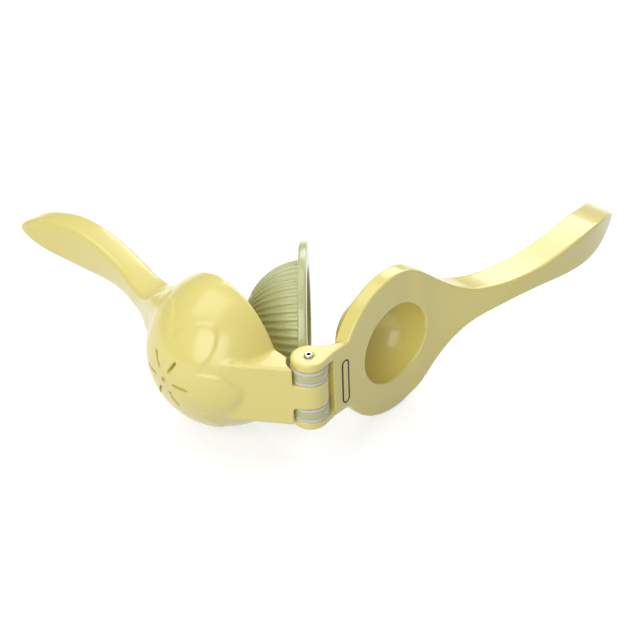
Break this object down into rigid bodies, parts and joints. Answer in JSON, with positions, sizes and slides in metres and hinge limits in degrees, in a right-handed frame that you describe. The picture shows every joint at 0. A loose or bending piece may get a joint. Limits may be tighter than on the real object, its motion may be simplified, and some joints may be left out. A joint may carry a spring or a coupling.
{
  "type": "citrus press",
  "caption": "Hand-held hinged citrus press: bowl arm with slotted drain, swing-in ribbed insert for small fruit, and press arm with a domed ring, on a common hinge pin.",
  "frame": {"origin": "middle of the footprint with the arms open as pictured, on the level of the insert flange's lowest point", "axes": "+Z along the hinge pin towards its socket end, +Y from the hinge towards the handles' ends, +X towards the press arm"},
  "size_m": [0.3032, 0.1608, 0.0776],
  "materials": {
    "yellow_enamel": "glossy pale yellow enamel on die-cast aluminium",
    "green_enamel": "satin sage green enamel on die-cast aluminium",
    "pin_steel": "turned stainless steel",
    "washer_nylon": "natural grey nylon",
    "frame_inlay": "black inlay line"
  },
  "bodies": {
    "bowl": {"bowl_arm": "yellow_enamel"},
    "insert": {"insert": "green_enamel", "washer_top": "washer_nylon", "washer_upper": "washer_nylon", "washer_lower": "washer_nylon", "washer_bottom": "washer_nylon"},
    "press": {"press_arm": "yellow_enamel", "hinge_pin": "pin_steel", "plate_frame": "frame_inlay"}
  },
  "joints": [
    {"name": "insert_swing", "type": "hinge", "parent": "bowl", "child": "insert", "pos_m": [-0.00523, -0.07182, 0.0388], "axis": [0, 0, 1], "range_deg": [-35, 41.9]},
    {"name": "press_swing", "type": "hinge", "parent": "insert", "child": "press", "pos_m": [-0.00523, -0.07182, 0.0388], "axis": [0, 0, 1], "range_deg": [-40, 42.5]}
  ]
}
